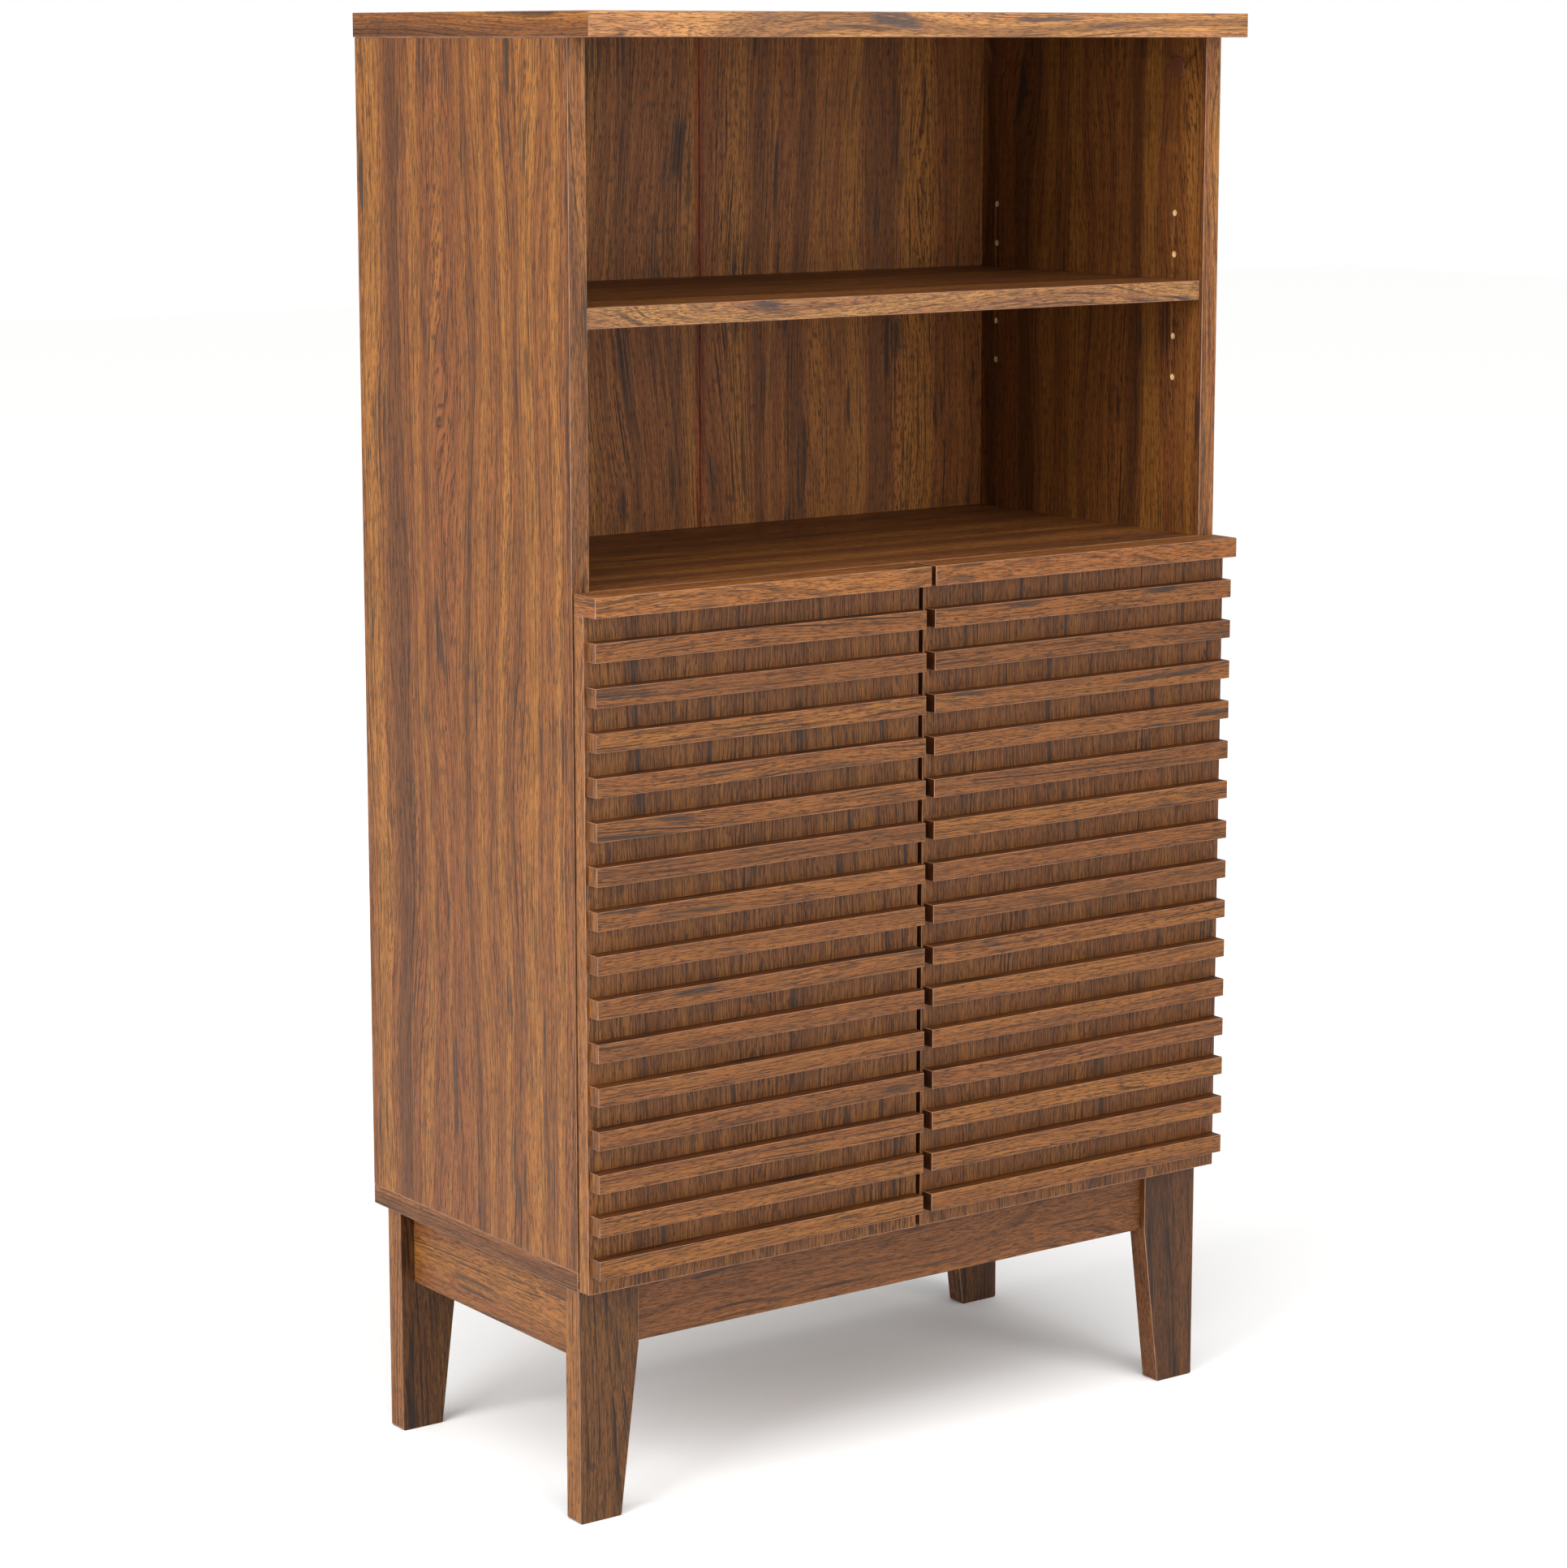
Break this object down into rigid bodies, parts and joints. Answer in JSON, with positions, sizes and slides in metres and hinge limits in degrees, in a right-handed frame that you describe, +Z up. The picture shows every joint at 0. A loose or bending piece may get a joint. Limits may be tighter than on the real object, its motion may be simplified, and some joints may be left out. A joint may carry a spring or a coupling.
{
  "type": "shoe cabinet",
  "caption": "Narrow walnut-finish shoe cabinet on a legged base: an open bay with a loose shelf above two slatted doors on concealed hinges, with shoe shelves behind them.",
  "frame": {"origin": "on the floor, at the middle of the cabinet's outline from above", "axes": "+Z up, +Y towards the back, +X to the right as seen from the front"},
  "size_m": [0.602, 0.32, 1.091],
  "materials": {
    "side_laminate": "walnut-grain melamine foil on particle board, satin",
    "top_laminate": "walnut-grain melamine foil on particle board, satin",
    "shelf_laminate": "walnut-grain melamine foil on particle board, satin",
    "back_board": "walnut-grain foil on thin hardboard, satin",
    "leg_laminate": "walnut-grain melamine foil on particle board, satin",
    "apron_laminate": "walnut-grain melamine foil on particle board, satin",
    "door_laminate": "walnut-grain melamine foil on particle board, satin",
    "rail_laminate": "walnut-grain melamine foil on particle board, satin",
    "slat_laminate": "walnut-grain melamine foil on particle board, satin",
    "hinge_steel": "nickel-plated pressed steel",
    "bracket_steel": "zinc-plated steel",
    "cam_metal": "zinc alloy, dull",
    "pin_steel": "nickel-plated steel",
    "dowel_beech": "plain fluted beech, raw"
  },
  "bodies": {
    "carcass": {"top_panel": "top_laminate", "left_side_panel": "side_laminate", "right_side_panel": "side_laminate", "bottom_panel": "shelf_laminate", "fixed_shelf": "shelf_laminate", "back_panel": "back_board", "upper_shelf": "shelf_laminate", "middle_shelf": "shelf_laminate", "lower_shelf": "shelf_laminate", "front_left_leg": "leg_laminate", "front_right_leg": "leg_laminate", "back_left_leg": "leg_laminate", "back_right_leg": "leg_laminate", "front_apron": "apron_laminate", "back_apron": "apron_laminate", "left_apron": "apron_laminate", "right_apron": "apron_laminate", "hinge_arms": "hinge_steel", "cam_fittings": "cam_metal", "dowels": "dowel_beech", "shelf_pins": "pin_steel", "leg_brackets": "bracket_steel"},
    "left_door": {"left_door_panel": "door_laminate", "left_door_rail": "rail_laminate", "left_hinge_cups": "hinge_steel", "left_slat_01": "slat_laminate", "left_slat_02": "slat_laminate", "left_slat_03": "slat_laminate", "left_slat_04": "slat_laminate", "left_slat_05": "slat_laminate", "left_slat_06": "slat_laminate", "left_slat_07": "slat_laminate", "left_slat_08": "slat_laminate", "left_slat_09": "slat_laminate", "left_slat_10": "slat_laminate", "left_slat_11": "slat_laminate", "left_slat_12": "slat_laminate", "left_slat_13": "slat_laminate", "left_slat_14": "slat_laminate", "left_slat_15": "slat_laminate"},
    "left_hinge_links": {"left_hinge_links": "hinge_steel"},
    "right_door": {"right_door_panel": "door_laminate", "right_door_rail": "rail_laminate", "right_hinge_cups": "hinge_steel", "right_slat_01": "slat_laminate", "right_slat_02": "slat_laminate", "right_slat_03": "slat_laminate", "right_slat_04": "slat_laminate", "right_slat_05": "slat_laminate", "right_slat_06": "slat_laminate", "right_slat_07": "slat_laminate", "right_slat_08": "slat_laminate", "right_slat_09": "slat_laminate", "right_slat_10": "slat_laminate", "right_slat_11": "slat_laminate", "right_slat_12": "slat_laminate", "right_slat_13": "slat_laminate", "right_slat_14": "slat_laminate", "right_slat_15": "slat_laminate"},
    "right_hinge_links": {"right_hinge_links": "hinge_steel"}
  },
  "joints": [
    {"name": "left_door_hinge", "type": "hinge", "parent": "carcass", "child": "left_door", "pos_m": [-0.29525, -0.139, 0.42625], "axis": [0, 0, -1], "range_deg": [0, 92]},
    {"name": "right_door_hinge", "type": "hinge", "parent": "carcass", "child": "right_door", "pos_m": [0.29525, -0.139, 0.42625], "axis": [0, 0, 1], "range_deg": [0, 92]},
    {"name": "left_link_pivot", "type": "hinge", "parent": "carcass", "child": "left_hinge_links", "pos_m": [-0.285, -0.1352, 0.42625], "axis": [0, 0, -1], "range_deg": [0, 115]},
    {"name": "right_link_pivot", "type": "hinge", "parent": "carcass", "child": "right_hinge_links", "pos_m": [0.285, -0.1352, 0.42625], "axis": [0, 0, 1], "range_deg": [0, 115]}
  ],
  "couplings": [
    {"joint": "left_link_pivot", "follows": "left_door_hinge", "ratio": 1.25},
    {"joint": "right_link_pivot", "follows": "right_door_hinge", "ratio": 1.25}
  ]
}
